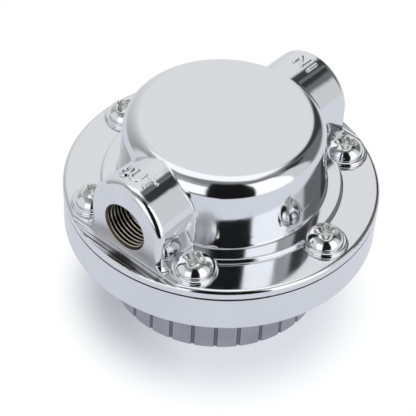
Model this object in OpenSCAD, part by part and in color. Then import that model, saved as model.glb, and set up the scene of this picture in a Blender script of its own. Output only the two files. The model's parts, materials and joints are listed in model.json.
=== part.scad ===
// Dial-type fuel pressure regulator, lying on its dial with the ported chrome housing on top.
// Lengths are millimetres. Z runs up the regulator's axis and the two ports lie along X.
// The dial turns a coarse lead screw, the screw lifts a keyed cup, and the cup loads the main spring.
// The spring holds the diaphragm up, and the diaphragm's stem holds the inlet valve off its seat.

/* [Upper housing] */
// Radius of the round flange
flange_r = 40; // [38:0.5:44]
// Thickness of the flange at its outer land
flange_t = 2.3; // [1.8:0.1:3.5]
// Round on the flange's top edge
flange_edge = 0.9; // [0.3:0.1:1]
// Radius of the raised land round the cap
land_r = 30.4; // [29.5:0.1:31.5]
// Height of the land and the screw pads
land_h = 1.1; // [0.8:0.1:1.6]
// Round on the top edge of the land and the pads
land_edge = 0.4; // [0.2:0.1:0.6]
// Radius of the round pad under each screw
pad_r = 5.5; // [5.2:0.1:5.7]
// Radius of the cap where its wall meets the land
cap_base_r = 26.3; // [25.5:0.1:27.5]
// Height of the cap above the land
cap_h = 19; // [18:0.5:22]
// Draft of the cap's wall in degrees
cap_draft = 4.2; // [2:0.2:6]
// Round between the cap's wall and its flat top
cap_fillet = 4.2; // [3:0.1:5]
// Small hollow round where the cap meets the land
base_fillet = 0.5; // [0.4:0.1:1.2]
// Thickness of the cap's wall
cap_wall = 4.2; // [3.6:0.1:4.6]
// Thickness of the cap's roof
roof_t = 4.4; // [3.8:0.1:5]

/* [Ports] */
// Half width of a port boss
boss_r = 11.5; // [10.5:0.1:11.8]
// Rise of a boss's arched top against its half width
boss_swell = 1.02; // [1.01:0.01:1.05]
// Drop from the cap's flat top to the crest of a boss
boss_drop = 0.2; // [0.2:0.1:1.2]
// Round on the edges of a boss at its mouth
boss_edge = 1.8; // [1.2:0.1:2.4]
// Hollow round at the foot of a boss
boss_foot = 2; // [1:0.1:2.4]
// Distance from the axis to the milled port face
port_face = 35.5; // [34.8:0.1:36.2]
// Radius of a port's threaded hole
port_r = 6.35; // [5.6:0.05:6.8]
// Depth of a port's threaded hole
port_depth = 11.5; // [10.5:0.5:12]
// Height of the port's axis above the flange's outer land
port_rise = 7.4; // [7.1:0.1:8]
// Depth that the port face's mill cuts into the flange
mill_cut = 0.3; // [0.1:0.1:0.6]

/* [Lower housing] */
// How far the lower band stands inside the flange's edge
band_inset = 0.1; // [0:0.1:1]
// Height of the lower band
band_h = 10.1; // [9:0.1:12]
// Round on the band's lower edge
band_edge = 1; // [0.5:0.1:2]
// Thickness of the drum's wall round the bowl
drum_wall = 2.5; // [1.5:0.1:4]
// Height of the drum
drum_h = 8; // [7.5:0.5:10]
// Radius of the bowl inside the lower housing
bowl_r = 27.5; // [26.5:0.1:28]
// Thickness of the housing's floor round the neck
floor_t = 2.2; // [2:0.1:3]
// Radius of the spring well
well_r = 15; // [14.5:0.1:16]
// Thickness of the wall round the spring well
well_wall = 3; // [2.5:0.1:3.5]

/* [Dial] */
// Radius of the dial over its ribs
dial_r = 28; // [27:0.5:29]
// Height of the dial
dial_h = 11.4; // [10.5:0.1:13]
// Number of ribs round the dial
dial_ribs = 30; // [24:1:36]
// Radius of the groove between two ribs
rib_groove = 0.5; // [0.4:0.05:0.8]
// Turn in degrees from the X axis to the first groove
rib_turn = 5; // [0:1:12]
// Running gap between the dial and the housing
dial_gap = 0.4; // [0.3:0.1:0.8]
// Depth of the dial's recessed face
face_depth = 1.2; // [0.8:0.1:1.6]
// Turn of the dial in degrees from its lowest to its highest mark
dial_turn = 300; // [270:30:300]
// Radius of the ring of detent dimples
detent_r = 20; // [19.5:0.1:20.5]

/* [Fasteners] */
// How far the flange screws stand outside the middle of the ledge round the cap
screw_shift = 0.25; // [0:0.05:0.5]
// Radius of a flange screw's head
head_r = 4.7; // [4:0.1:5]
// Height of a flange screw's head
head_h = 3.3; // [2.5:0.1:3.6]
// Radius of a flange screw's shank
shank_r = 2.4; // [2.2:0.05:2.5]
// Length of a flange screw below its head
shank_len = 12.5; // [10:0.5:13.5]

/* [Diaphragm and valve] */
// Thickness of the diaphragm
dia_t = 0.6; // [0.5:0.1:1]
// Radius of the two diaphragm plates
plate_r = 19; // [17:0.5:20]
// Thickness of a diaphragm plate
plate_t = 1; // [0.8:0.1:1.2]
// Radius of the diaphragm's rolled fold
fold_r = 23; // [22.8:0.1:23.2]
// Radius of the stem that lifts the valve
stem_r = 1.25; // [1:0.05:1.5]
// Travel of the diaphragm from open to shut
valve_lift = 0.8; // [0.5:0.05:0.9]
// Radius of the bore that holds the valve and its seat
valve_bore = 6; // [5.8:0.1:6.2]
// Radius of the seat's orifice
orifice_r = 2.4; // [2.2:0.1:2.6]

/* [Springs] */
// Mean radius of the main spring
main_spring_r = 11; // [10.6:0.1:11.4]
// Radius of the main spring's wire
main_wire = 0.9; // [0.8:0.05:1]
// Lift of the spring cup over the dial's whole turn
cup_lift = 4; // [3:0.5:4.5]
// Radius of the valve spring's wire
valve_wire = 0.25; // [0.2:0.05:0.35]

/* [Hidden] */
// Running clearance on turning and sliding fits
run = 0.05;
// Looser clearance for keyed ears and passing parts
ease = 0.1;
// Overrun of a cut past the face it opens
over = 1;
// Curved faces
fine = 96;
// Small curved faces
small = 40;
housing_z = dial_h + dial_gap;
band_z = housing_z + drum_h;
seam_z = band_z + band_h;
upper_z = seam_z + dia_t;
flange_z = upper_z + flange_t;
land_z = flange_z + land_h;
top_z = land_z + cap_h;
boss_top = top_z - boss_drop;
arch_z = boss_top - boss_r * boss_swell;
port_z = flange_z + port_rise;
roof_z = top_z - roof_t;
band_r = flange_r - band_inset;
drum_r = bowl_r + drum_wall;
screw_circle = (cap_base_r + flange_r) / 2 + screw_shift;
screw_count = 6;
// Valve stack, from the chamber up
chamber_r = 25.2;
chamber_z = flange_z - 0.4;
centre_z = upper_z + 3.7;
seat_flange_t = 1;
seat_top = centre_z + 6.8;
groove_z = centre_z + 2.6;
groove_h = 1.4;
groove_d = 1.15;
ring_r = 0.56;
lip_h = 0.6;
lip_top = seat_top + lip_h;
face_z = lip_top + valve_lift;
face_stand = 0.2;
poppet_z = face_z + face_stand;
poppet_t = 2.4;
poppet_top = poppet_z + poppet_t;
poppet_r = 4.4;
guide_r = 1.5;
guide_z = top_z - 3.4;
guide_end = top_z - 1.4;
bridge_w = 9;
boss_root = 15;
// Overlap that lets the boss's hollow foot end on a clean line
foot_lap = 0.06;
inlet_r = 2.2;
inlet_z = port_z + 4;
outlet_r = 3.2;
outlet_len = 8;
rivet_head_r = 4.5;
collar_r = 3.8;
collar_t = 1.2;
valve_spring_r = 2.8;
// Spring side, from the floor up
floor_z = housing_z + floor_t;
washer_t = 0.8;
shoulder_t = 1;
shoulder_z = floor_z + washer_t;
washer_r = 8.5;
shoulder_r = 8;
neck_r = 5;
post_r = 4.5;
post_len = 9.7;
post_top = shoulder_z + shoulder_t + post_len;
cup_z = shoulder_z + shoulder_t + 0.2;
cup_t = 2;
cup_hub = 5;
cup_r = well_r - 0.4;
ear_w = 4;
ear_reach = well_r + well_wall + 0.3;
plate_bottom = seam_z - plate_t;
rivet_head_t = 1.4;
rivet_r = 2.5;
bowl_z = housing_z + 4;
well_top = seam_z - 3.4;
// Dial inside
web_t = 3;
hub_r = 9;
drive_r = 4;
drive_flat = 6.4;
rim_t = 3;
drive_z = face_depth + web_t + 1.6;
ball_r = 1.5;
ball_z = housing_z + 0.5;
pin_r = 1.2;
pin_reach = 2.6;
knob_head_r = 4;
knob_head_h = 2.6;
knob_shank_r = 1.98;
knob_shank_len = 7.5;
pin_ring = 13;
lug_angle = 360 - dial_turn - 12;
pocket_len = 5;
detent_angle = 0;
pocket_end = ball_z + ball_r + pocket_len;
detent_spring_r = 1.1;
detent_wire = 0.2;

// Plain disc profile whose top outer corner is rounded
module rounded_disc(r, z0, z1, edge) {
    translate([0, z0])
        square([r, z1 - z0 - edge]);
    translate([0, z0])
        square([r - edge, z1 - z0]);
    translate([r - edge, z1 - edge])
        circle(r = edge, $fn = small);
}

// Solid of the cap: drafted wall, rounded shoulder, flat roof and a hollow round at the foot
module cap_solid() {
    shoulder_z0 = top_z - cap_fillet;
    shoulder_x = cap_base_r - (cap_fillet + sin(cap_draft) * (shoulder_z0 - land_z)) / cos(cap_draft);
    foot_x = cap_base_r + base_fillet * (1 - sin(cap_draft)) / cos(cap_draft);
    foot_top = land_z + base_fillet * (1 - sin(cap_draft));
    rotate([0, 0, 45]) rotate_extrude($fn = fine) {
        polygon([
            [0, flange_z],
            [cap_base_r, flange_z],
            [cap_base_r, land_z],
            [shoulder_x + cap_fillet * cos(cap_draft), shoulder_z0 + cap_fillet * sin(cap_draft)],
            [shoulder_x, top_z],
            [0, top_z]
        ]);
        translate([shoulder_x, shoulder_z0])
            circle(r = cap_fillet, $fn = fine);
        difference() {
            polygon([
                [cap_base_r - 1, land_z],
                [foot_x, land_z],
                [foot_x - base_fillet * cos(cap_draft), foot_top],
                [cap_base_r - 1, foot_top]
            ]);
            translate([foot_x, land_z + base_fillet])
                circle(r = base_fillet, $fn = small);
        }
    }
}

// Outline of a boss from above, with its two corners at the mouth rounded
module boss_plan() {
    translate([boss_root, -boss_r])
        square([port_face - boss_edge - boss_root, 2 * boss_r]);
    translate([boss_root, boss_edge - boss_r])
        square([port_face - boss_root, 2 * (boss_r - boss_edge)]);
    for (side = [-1, 1])
        translate([port_face - boss_edge, side * (boss_r - boss_edge)])
            circle(r = boss_edge, $fn = small);
}

// Section of the hollow round between a boss and the flange
module foot_section() {
    difference() {
        translate([-over, -over])
            square([boss_foot + over, boss_foot + over]);
        translate([boss_foot, boss_foot])
            circle(r = boss_foot + foot_lap, $fn = small);
    }
}

// Arched boss that carries one port, running out along X to its milled face
module port_boss() {
    translate([0, 0, arch_z])
        scale([1, 1, boss_swell])
            rotate([0, 90, 0])
                rotate([0, 0, 90])
                    rotate_extrude(angle = 180, $fn = fine)
                        rounded_disc(boss_r, boss_root, port_face, boss_edge);
    translate([0, 0, upper_z + over])
        linear_extrude(height = arch_z - upper_z - over)
            boss_plan();
    for (side = [0, 1])
        mirror([0, side, 0]) {
            translate([boss_root, boss_r, flange_z])
                rotate([90, 0, 90])
                    linear_extrude(height = port_face - boss_edge - boss_root)
                        foot_section();
            translate([port_face - boss_edge, boss_r - boss_edge, flange_z])
                rotate_extrude(angle = 90, $fn = small)
                    translate([boss_edge, 0])
                        foot_section();
        }
}

// Hollow under the cap, with the valve's tower and the inlet's bridge left standing in it
module cap_hollow() {
    inner_r = cap_base_r - cap_wall;
    difference() {
        rotate_extrude($fn = fine)
            polygon([
                [0, upper_z - 1],
                [inner_r, upper_z - 1],
                [inner_r - 1, roof_z],
                [0, roof_z]
            ]);
        translate([0, 0, centre_z])
            cylinder(r = valve_bore + 4, h = roof_z, $fn = fine);
        translate([0, -bridge_w / 2, inlet_z - inlet_r - 2.4])
            cube([cap_base_r, bridge_w, roof_z]);
    }
}

// Die-cast upper housing with the cap, both ports, the flange and the valve's bore
module upper_housing() color([0.80, 0.82, 0.85]) difference() {
    union() {
        rotate_extrude($fn = fine)
            rounded_disc(flange_r, upper_z, flange_z, flange_edge);
        rotate_extrude($fn = fine)
            rounded_disc(land_r, upper_z + 1, land_z, land_edge);
        for (i = [0 : screw_count - 1])
            rotate([0, 0, 30 + i * 60])
                translate([screw_circle, 0, 0])
                    rotate_extrude($fn = fine)
                        rounded_disc(pad_r, upper_z + 1, land_z, land_edge);
        cap_solid();
        for (side = [0, 180])
            rotate([0, 0, side])
                port_boss();
    }
    cap_hollow();
    translate([0, 0, upper_z - 1])
        cylinder(r = chamber_r, h = chamber_z - upper_z + 1, $fn = fine);
    translate([0, 0, centre_z - 1])
        cylinder(r = valve_bore, h = guide_z - centre_z + 1, $fn = fine);
    translate([0, 0, guide_z - 1])
        cylinder(r = guide_r + run, h = guide_end - guide_z + 1, $fn = small);
    for (side = [0, 180])
        rotate([0, 0, side]) {
            translate([port_face - port_depth, 0, port_z])
                rotate([0, 90, 0])
                    cylinder(r = port_r, h = port_depth + 1, $fn = fine);
            translate([port_face, -flange_r, flange_z - mill_cut])
                cube([flange_r, 2 * flange_r, land_h + mill_cut + 1]);
        }
    translate([0, 0, inlet_z])
        rotate([0, 90, 0])
            cylinder(r = inlet_r, h = port_face - port_depth + 1, $fn = small);
    translate([-port_face + port_depth - 1, 0, port_z])
        rotate([0, 90, 0])
            cylinder(r = outlet_r, h = outlet_len, $fn = small);
    for (i = [0 : screw_count - 1])
        rotate([0, 0, 30 + i * 60])
            translate([screw_circle, 0, upper_z - 1])
                cylinder(r = shank_r + 3 * ease, h = flange_t + land_h + 2, $fn = small);
}

// Die-cast lower housing: smooth band, drum, spring well with key slots, neck and vent
module lower_housing() color([0.74, 0.75, 0.77]) difference() {
    union() {
        translate([0, 0, seam_z + band_z])
            mirror([0, 0, 1])
                rotate_extrude($fn = fine)
                    rounded_disc(band_r, band_z, seam_z, band_edge);
        translate([0, 0, housing_z])
            cylinder(r = drum_r, h = drum_h + 1, $fn = fine);
    }
    difference() {
        translate([0, 0, bowl_z])
            cylinder(r = bowl_r, h = seam_z, $fn = fine);
        translate([0, 0, bowl_z - 1])
            cylinder(r = well_r + well_wall, h = well_top - bowl_z + 1, $fn = fine);
        rotate([0, 0, detent_angle])
            translate([detent_r, 0, bowl_z - 1])
                cylinder(r = ball_r + 2, h = pocket_end - bowl_z + 3, $fn = small);
    }
    translate([0, 0, floor_z])
        cylinder(r = well_r, h = seam_z, $fn = fine);
    translate([-ear_w / 2 - ease, -ear_reach - 0.5, cup_z - 0.2])
        cube([ear_w + 2 * ease, 2 * ear_reach + 1, seam_z]);
    translate([0, 0, housing_z - 1])
        cylinder(r = neck_r + run, h = floor_t + 2, $fn = fine);
    for (i = [0 : screw_count - 1])
        rotate([0, 0, 30 + i * 60])
            translate([screw_circle, 0, land_z - shank_len - 0.6])
                cylinder(r = shank_r + run, h = shank_len, $fn = small);
    rotate([0, 0, detent_angle])
        translate([detent_r, 0, housing_z - 1])
            cylinder(r = ball_r + run, h = pocket_end - housing_z + 1, $fn = small);
    rotate([0, 0, -90])
        translate([pin_ring, 0, housing_z - 1])
            cylinder(r = pin_r, h = floor_t, $fn = small);
    rotate([0, 0, -45])
        translate([bowl_r - 1, 0, (bowl_z + band_z) / 2])
            rotate([0, 90, 0])
                cylinder(r = 0.9, h = drum_r, $fn = small);
}

// Die-cast dial: ribbed rim, recessed face, hub with a two-flat socket, detent track and stop lug
module dial_knob() color([0.62, 0.63, 0.65]) difference() {
    cylinder(r = dial_r, h = dial_h, $fn = fine);
    for (i = [0 : dial_ribs - 1])
        rotate([0, 0, rib_turn + i * 360 / dial_ribs])
            translate([dial_r + rib_groove * 0.2, 0, -1])
                cylinder(r = rib_groove, h = dial_h + 2, $fn = 24);
    translate([0, 0, -1])
        cylinder(r = dial_r - rim_t, h = face_depth + 1, $fn = fine);
    translate([0, 0, -1])
        cylinder(r = knob_head_r + 1.2, h = face_depth + web_t + 1, $fn = small);
    translate([0, 0, 1])
        cylinder(r = knob_shank_r + 0.22, h = dial_h, $fn = small);
    translate([0, 0, drive_z])
        drive_form(run);
    difference() {
        translate([0, 0, face_depth + web_t])
            cylinder(r = detent_r - 3.2, h = dial_h, $fn = fine);
        cylinder(r = hub_r, h = 2 * dial_h, $fn = fine);
        stop_lug();
    }
    difference() {
        translate([0, 0, face_depth + web_t])
            cylinder(r = dial_r - rim_t, h = dial_h, $fn = fine);
        cylinder(r = detent_r + 3.2, h = 2 * dial_h, $fn = fine);
    }
    rotate_extrude($fn = fine)
        translate([detent_r, ball_z])
            circle(r = ball_r + run, $fn = small);
    for (i = [0 : dial_turn / 30])
        rotate([0, 0, detent_angle - i * 30])
            translate([detent_r, 0, ball_z - ball_r - 0.5])
                cylinder(r = 0.8, h = ball_r, $fn = small);
}

// Wedge of metal left in the dial's inner channel, which meets the stop pin at both ends of the turn
module stop_lug() {
    reach = detent_r;
    half = lug_angle / 2;
    rotate([0, 0, -90 + (360 - dial_turn) / 2])
        linear_extrude(height = 2 * dial_h)
            polygon([
                [0, 0],
                [reach * cos(half), -reach * sin(half)],
                [reach / cos(half / 2), 0],
                [reach * cos(half), reach * sin(half)]
            ]);
}

// Two-flat end of the lead screw, or the socket for it with a gap all round
module drive_form(gap) {
    intersection() {
        cylinder(r = drive_r + gap, h = housing_z - drive_z + 0.2, $fn = small);
        translate([-drive_r - over, -drive_flat / 2 - gap, 0])
            cube([2 * drive_r + 2 * over, drive_flat + 2 * gap, housing_z]);
    }
}

// One pan head with a wide cross recess; its underside is at z = 0
module pan_head(r, h, slot_w) {
    dome = (r * r + (0.68 * h) * (0.68 * h)) / (2 * 0.68 * h);
    difference() {
        rotate_extrude($fn = small)
            intersection() {
                square([r, h]);
                translate([0, h - dome])
                    circle(r = dome, $fn = fine);
            }
        intersection() {
            union() {
                translate([-slot_w / 2, -r, h * 0.34])
                    cube([slot_w, 2 * r, h]);
                translate([-r, -slot_w / 2, h * 0.34])
                    cube([2 * r, slot_w, h]);
            }
            translate([0, 0, h * 0.34])
                cylinder(r1 = 0.34 * r, r2 = 1.2 * r, h = h, $fn = small);
        }
    }
}

// Six pan-head screws that clamp the housings and the diaphragm's rim together
module flange_screws() color([0.78, 0.78, 0.76])
    for (i = [0 : screw_count - 1])
        rotate([0, 0, 30 + i * 60])
            translate([screw_circle, 0, land_z]) {
                rotate([0, 0, 25 + 37 * i])
                    pan_head(head_r, head_h, 1.9);
                translate([0, 0, -shank_len])
                    cylinder(r = shank_r, h = shank_len + 0.5, $fn = small);
            }

// Fabric-backed rubber diaphragm with one rolled fold, clamped between the housings
module diaphragm() color([0.12, 0.12, 0.13]) difference() {
    rotate_extrude($fn = fine)
        difference() {
            union() {
                translate([rivet_r, seam_z])
                    square([flange_r - 0.6 - rivet_r, dia_t]);
                intersection() {
                    translate([fold_r, upper_z])
                        circle(r = 1.3 + dia_t, $fn = small);
                    translate([fold_r - 3, seam_z - 3])
                        square([6, 3 + dia_t]);
                }
            }
            translate([fold_r, upper_z])
                circle(r = 1.3, $fn = small);
        }
    for (i = [0 : screw_count - 1])
        rotate([0, 0, 30 + i * 60])
            translate([screw_circle, 0, seam_z - over])
                cylinder(r = shank_r + 2 * ease, h = dia_t + 2 * over, $fn = small);
}

// Flat steel washer that backs the diaphragm on its fuel side
module diaphragm_washer() color([0.70, 0.71, 0.73]) difference() {
    rotate_extrude($fn = fine)
        rounded_disc(plate_r, upper_z, upper_z + plate_t, 0.3);
    translate([0, 0, upper_z - 1])
        cylinder(r = rivet_r, h = plate_t + 2, $fn = small);
}

// Pressed steel plate under the diaphragm, with a ring that centres the main spring
module spring_plate() color([0.70, 0.71, 0.73]) difference() {
    union() {
        translate([0, 0, plate_bottom])
            cylinder(r = plate_r, h = plate_t, $fn = fine);
        translate([0, 0, plate_bottom - 1])
            cylinder(r = main_spring_r - main_wire - 0.2, h = 1.2, $fn = fine);
    }
    translate([0, 0, plate_bottom - 2 * over])
        cylinder(r = main_spring_r - main_wire - 1.4, h = 2 * over, $fn = fine);
    translate([0, 0, plate_bottom - 2 * over])
        cylinder(r = rivet_r, h = plate_t + 4 * over, $fn = small);
}

// Brass rivet through plates and diaphragm, drawn up into the stem that lifts the valve
module diaphragm_rivet() color([0.78, 0.62, 0.30]) {
    translate([0, 0, plate_bottom - rivet_head_t])
        cylinder(r = rivet_head_r, h = rivet_head_t, $fn = small);
    translate([0, 0, plate_bottom - 0.1])
        cylinder(r = rivet_r, h = 2 * plate_t + dia_t + 0.2, $fn = small);
    translate([0, 0, upper_z + plate_t])
        cylinder(r = collar_r, h = collar_t, $fn = small);
    translate([0, 0, upper_z + plate_t + collar_t - 0.2])
        cylinder(r = stem_r, h = poppet_z - upper_z - plate_t - collar_t + 0.18, $fn = small);
}

// Brass valve seat pressed up into the housing's bore, with a raised sealing lip
module valve_seat() color([0.80, 0.64, 0.32]) rotate_extrude($fn = fine) difference() {
    union() {
        translate([orifice_r, centre_z - seat_flange_t])
            square([valve_bore + 2 - orifice_r, seat_flange_t]);
        translate([orifice_r, centre_z - 0.1])
            square([valve_bore - 0.01 - orifice_r, seat_top - centre_z + 0.1]);
        translate([orifice_r, seat_top - 0.1])
            square([0.8, lip_h + 0.1]);
    }
    translate([valve_bore - groove_d, groove_z])
        square([groove_d + over, groove_h]);
}

// Rubber sealing ring in the valve seat's groove
module seat_ring() color([0.10, 0.10, 0.10]) rotate_extrude($fn = fine)
    translate([valve_bore - ring_r - 0.02, groove_z + groove_h / 2])
        circle(r = ring_r, $fn = small);

// Brass valve poppet with its guide stem and the groove that holds the rubber face
module valve_poppet() color([0.80, 0.64, 0.32]) rotate_extrude($fn = small) difference() {
    union() {
        translate([0, poppet_z])
            square([poppet_r, poppet_t]);
        translate([0, poppet_top - 0.1])
            square([guide_r, guide_end - 0.5 - poppet_top + 0.1]);
    }
    translate([stem_r + 0.5, poppet_z - 1])
        square([poppet_r - stem_r - 1, 2]);
}

// Rubber ring in the poppet that closes on the seat's lip
module valve_face() color([0.09, 0.09, 0.10]) rotate_extrude($fn = small)
    translate([stem_r + 0.52, face_z])
        square([poppet_r - stem_r - 1.04, face_stand + 1]);

// Round wire wound into an open coil between two heights
module coil(mean_r, wire_r, z0, z1, turns, sides, steps) {
    count = ceil(turns * steps);
    rise = z1 - z0 - 2 * wire_r;
    rings = [for (i = [0 : count]) for (j = [0 : sides - 1])
        let (a = 360 * turns * i / count, b = 360 * j / sides)
        [
            (mean_r + wire_r * cos(b)) * cos(a),
            (mean_r + wire_r * cos(b)) * sin(a),
            z0 + wire_r + rise * i / count + wire_r * sin(b)
        ]];
    walls = [for (i = [0 : count - 1]) for (j = [0 : sides - 1])
        [
            i * sides + j,
            i * sides + (j + 1) % sides,
            (i + 1) * sides + (j + 1) % sides,
            (i + 1) * sides + j
        ]];
    first = [[for (j = [0 : sides - 1]) sides - 1 - j]];
    last = [[for (j = [0 : sides - 1]) count * sides + j]];
    polyhedron(points = rings, faces = concat(walls, first, last), convexity = 10);
}

// Light spring that follows the valve down onto its seat
module valve_spring() color([0.75, 0.75, 0.74])
    coil(valve_spring_r, valve_wire, poppet_top + 0.01, guide_z - 0.01, 5, 6, 14);

// Main regulating spring between the cup and the diaphragm's plate
module main_spring() color([0.68, 0.69, 0.71])
    coil(main_spring_r, main_wire, cup_z + cup_t + 0.01, plate_bottom - 0.01, 3.4, 8, 24);

// Moulded spring cup: nut on the lead screw, kept from turning by two ears in the well's slots
module spring_cup() color([0.86, 0.84, 0.78]) difference() {
    union() {
        translate([0, 0, cup_z])
            cylinder(r = cup_r, h = cup_t, $fn = fine);
        translate([0, 0, cup_z])
            cylinder(r = 7.6, h = cup_hub, $fn = fine);
        translate([-ear_w / 2, -ear_reach, cup_z])
            cube([ear_w, 2 * ear_reach, cup_t]);
    }
    translate([0, 0, cup_z - 1])
        cylinder(r = post_r + run, h = cup_hub + 2, $fn = small);
}

// Steel lead screw: two-flat drive in the dial, journal in the neck, shoulder and lifting post
module lead_screw() color([0.60, 0.61, 0.63]) difference() {
    union() {
        translate([0, 0, drive_z])
            drive_form(0);
        translate([0, 0, housing_z - 0.2])
            cylinder(r = neck_r, h = floor_t + washer_t + 0.4, $fn = fine);
        translate([0, 0, shoulder_z])
            cylinder(r = shoulder_r, h = shoulder_t, $fn = fine);
        translate([0, 0, shoulder_z])
            cylinder(r = post_r, h = post_top - shoulder_z, $fn = small);
    }
    translate([0, 0, drive_z - 1])
        cylinder(r = 2, h = 8, $fn = small);
}

// Plain washer between the lead screw's shoulder and the housing's floor
module thrust_washer() color([0.85, 0.83, 0.75]) difference() {
    translate([0, 0, floor_z])
        cylinder(r = washer_r, h = washer_t, $fn = fine);
    translate([0, 0, floor_z - over])
        cylinder(r = neck_r + ease, h = washer_t + 2 * over, $fn = fine);
}

// Screw in the middle of the dial's face that holds the dial on the lead screw
module knob_screw() color([0.70, 0.70, 0.70]) {
    translate([0, 0, face_depth + web_t])
        mirror([0, 0, 1])
            pan_head(knob_head_r, knob_head_h, 1.5);
    translate([0, 0, face_depth + web_t - 0.5])
        cylinder(r = knob_shank_r, h = knob_shank_len, $fn = small);
}

// Steel ball that clicks from dimple to dimple as the dial turns
module detent_ball() color([0.72, 0.73, 0.75])
    rotate([0, 0, detent_angle])
        translate([detent_r, 0, ball_z])
            sphere(r = ball_r, $fn = small);

// Small spring behind the detent ball
module detent_spring() color([0.75, 0.75, 0.74])
    rotate([0, 0, detent_angle])
        translate([detent_r, 0, 0])
            coil(detent_spring_r, detent_wire, ball_z + ball_r - 0.25, pocket_end - 0.01, 5, 6, 12);

// Steel pin in the housing that stops the dial at both ends of its turn
module stop_pin() color([0.66, 0.67, 0.69])
    rotate([0, 0, -90])
        translate([pin_ring, 0, housing_z - pin_reach])
            cylinder(r = pin_r, h = pin_reach + floor_t - over, $fn = small);

upper_housing();
lower_housing();
dial_knob();
flange_screws();
diaphragm();
diaphragm_washer();
spring_plate();
diaphragm_rivet();
valve_seat();
seat_ring();
valve_poppet();
valve_face();
valve_spring();
main_spring();
spring_cup();
lead_screw();
thrust_washer();
knob_screw();
detent_ball();
detent_spring();
stop_pin();
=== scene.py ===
import json
import math

import bmesh
import bpy
import numpy as np
from mathutils import Matrix, Vector


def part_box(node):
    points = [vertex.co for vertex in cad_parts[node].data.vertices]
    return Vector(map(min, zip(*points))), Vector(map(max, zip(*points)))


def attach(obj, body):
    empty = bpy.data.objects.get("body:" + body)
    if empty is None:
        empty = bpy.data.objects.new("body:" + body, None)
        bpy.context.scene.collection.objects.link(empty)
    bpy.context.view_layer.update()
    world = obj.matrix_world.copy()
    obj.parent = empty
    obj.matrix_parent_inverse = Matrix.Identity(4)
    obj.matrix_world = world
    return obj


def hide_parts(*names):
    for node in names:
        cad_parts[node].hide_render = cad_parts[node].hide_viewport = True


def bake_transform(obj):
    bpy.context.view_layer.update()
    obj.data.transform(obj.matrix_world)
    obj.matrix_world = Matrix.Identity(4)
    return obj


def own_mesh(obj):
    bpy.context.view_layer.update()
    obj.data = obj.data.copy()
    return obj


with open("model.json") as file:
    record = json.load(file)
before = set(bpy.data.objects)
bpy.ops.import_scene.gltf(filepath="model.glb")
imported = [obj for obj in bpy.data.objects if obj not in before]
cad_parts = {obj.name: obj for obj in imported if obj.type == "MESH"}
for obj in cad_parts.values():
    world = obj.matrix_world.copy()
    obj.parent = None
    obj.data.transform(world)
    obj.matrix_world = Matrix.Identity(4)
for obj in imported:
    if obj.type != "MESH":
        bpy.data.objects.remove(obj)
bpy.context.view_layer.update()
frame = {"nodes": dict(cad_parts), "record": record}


# Lower housing
# A zinc die casting that carries the dial below and the diaphragm above. Its smooth band is polished
# and plated with bright nickel and chrome, and six screws clamp it to the upper housing.

MM = 0.001


def linear(hex_colour):
    """An sRGB hex colour as linear red, green, blue and alpha."""
    parts = [int(hex_colour[i:i + 2], 16) / 255 for i in (1, 3, 5)]
    return [p / 12.92 if p <= 0.04045 else ((p + 0.055) / 1.055) ** 2.4 for p in parts] + [1.0]


def add(tree, kind, settings=None, values=None, links=None):
    """Adds one shader node with its settings, its input values and the sockets that feed it."""
    made = tree.nodes.new("ShaderNode" + kind)
    for field, value in (settings or {}).items():
        setattr(made, field, value)
    for socket, value in (values or {}).items():
        made.inputs[socket].default_value = value
    for socket, source in (links or {}).items():
        tree.links.new(source, made.inputs[socket])
    return made


def new_finish(name):
    """A material with an empty tree and its output, ready for one surface shader."""
    finish = bpy.data.materials.new(name)
    finish.use_nodes = True
    tree = finish.node_tree
    tree.nodes.clear()
    return finish, tree, add(tree, "OutputMaterial")


def dress(node, *finishes, choose=None):
    """Gives a CAD node its finishes; choose says which one a face takes, by its centre and normal."""
    mesh = frame["nodes"][node].data
    mesh.materials.clear()
    for finish in finishes:
        mesh.materials.append(finish)
    if choose:
        for face in mesh.polygons:
            face.material_index = choose(face.center / MM, face.normal)


def chrome_plate(name, colour, roughness, ripple_mm, ripple_height_mm, edge_mm):
    """Bright chrome over a polished casting: mirror reflections, a slow ripple left by the buffing wheel,
    faint changes of gloss, and edges that the plating has softened."""
    finish, tree, out = new_finish(name)
    place = add(tree, "TexCoord").outputs["Object"]
    ripple = add(tree, "TexNoise", values={"Scale": 1 / (ripple_mm * MM), "Detail": 1.0, "Roughness": 0.4},
                 links={"Vector": place})
    haze = add(tree, "TexNoise", values={"Scale": 1 / (5 * MM), "Detail": 3.0}, links={"Vector": place})
    gloss = add(tree, "MapRange", values={"From Min": 0.3, "From Max": 0.7, "To Min": roughness * 0.75,
                                          "To Max": roughness * 1.25},
                links={"Value": haze.outputs["Fac"]})
    edge = add(tree, "Bevel", {"samples": 8}, {"Radius": edge_mm * MM})
    bump = add(tree, "Bump", values={"Distance": ripple_height_mm * MM},
               links={"Height": ripple.outputs["Fac"], "Normal": edge.outputs["Normal"]})
    shader = add(tree, "BsdfPrincipled", values={"Base Color": linear(colour), "Metallic": 1.0},
                 links={"Roughness": gloss.outputs["Result"], "Normal": bump.outputs["Normal"]})
    tree.links.new(shader.outputs[0], out.inputs["Surface"])
    return finish


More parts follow.
